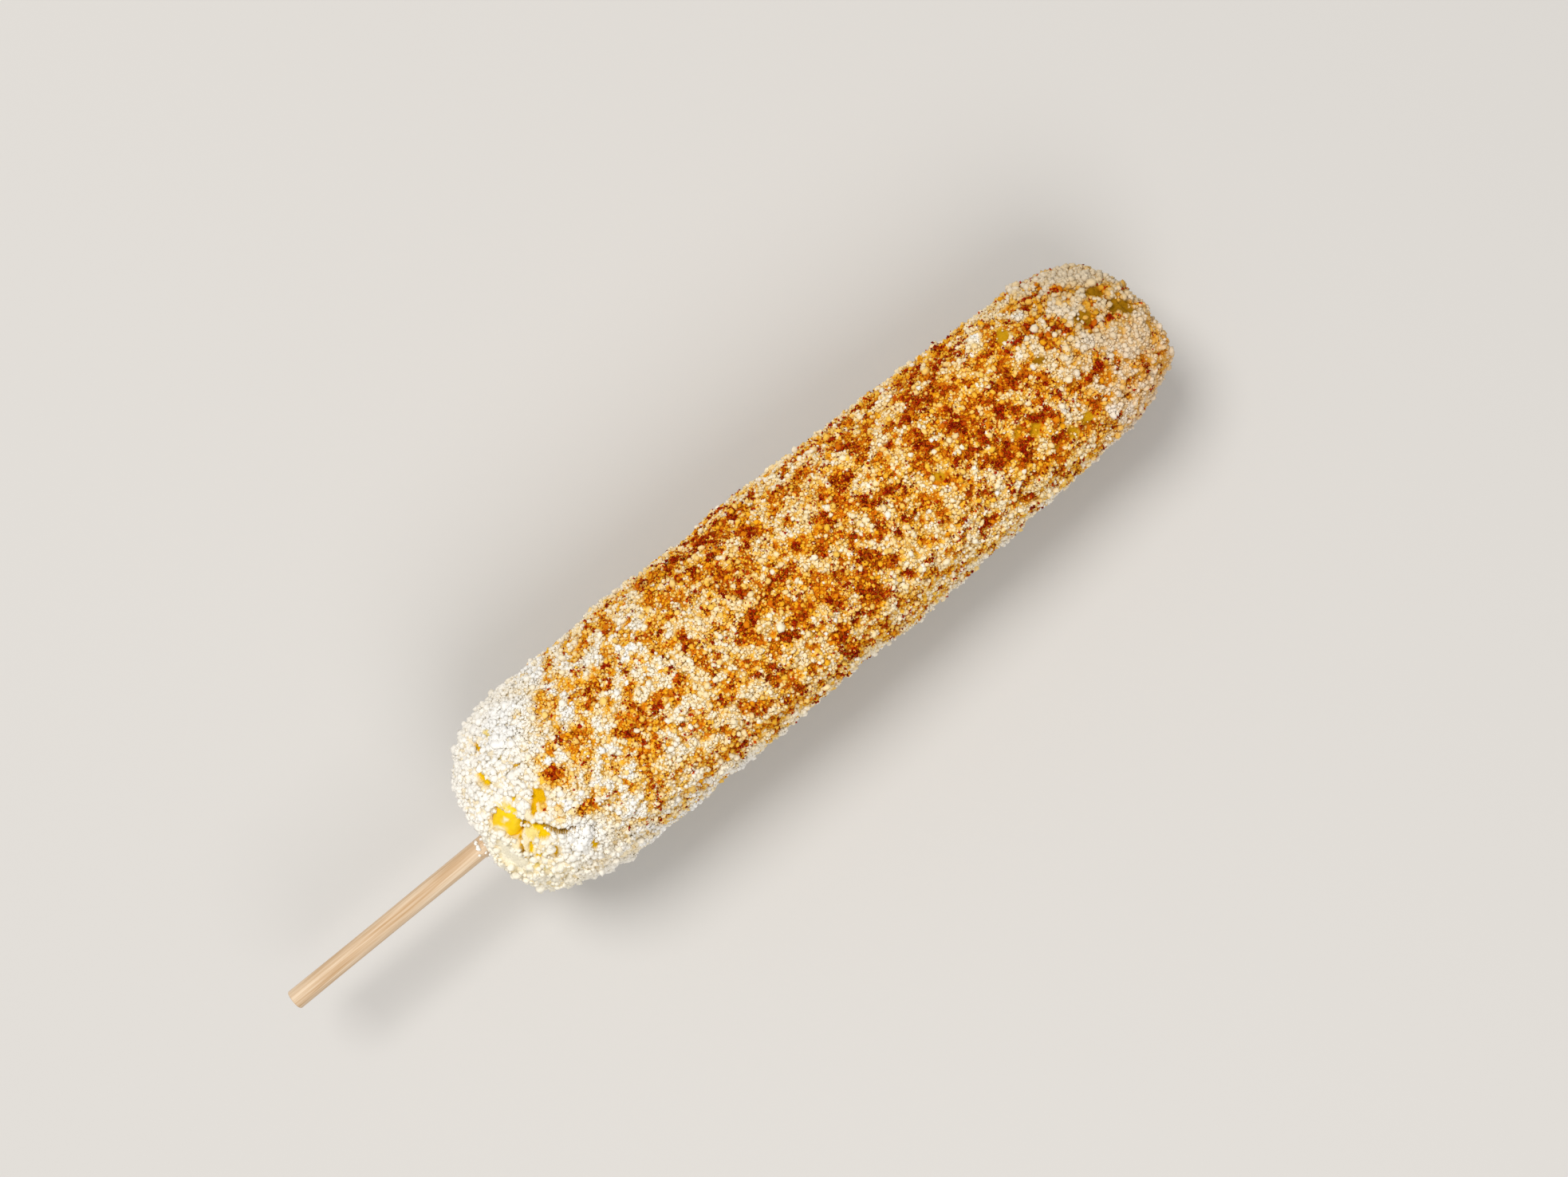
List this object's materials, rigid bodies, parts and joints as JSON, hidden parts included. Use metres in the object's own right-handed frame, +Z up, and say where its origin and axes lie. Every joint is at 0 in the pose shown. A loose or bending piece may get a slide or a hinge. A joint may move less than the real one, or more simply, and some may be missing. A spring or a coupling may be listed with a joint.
{
  "type": "elote",
  "caption": "Ear of corn on a bamboo stick, coated in mayonnaise, crumbled white cheese and chile powder, lying on its side.",
  "frame": {"origin": "on the table, under the middle of the bounding box", "axes": "+X along the ear from the stick to the tip, +Z up, the ear lying on its side"},
  "size_m": [0.2452, 0.0494, 0.0487],
  "materials": {
    "corn": "moist yellow kernels, smooth and faintly glossy",
    "crumbled_cheese": "crumbled white cheese over mayonnaise, matt and granular",
    "chile_powder": "ground red chile, matt, orange where it is thin and dark red in clumps",
    "bamboo": "bare bamboo with fine grain along its length"
  },
  "bodies": {
    "root": {"corn_ear": "corn", "cheese_coat": "crumbled_cheese", "stick": "bamboo"}
  },
  "joints": []
}
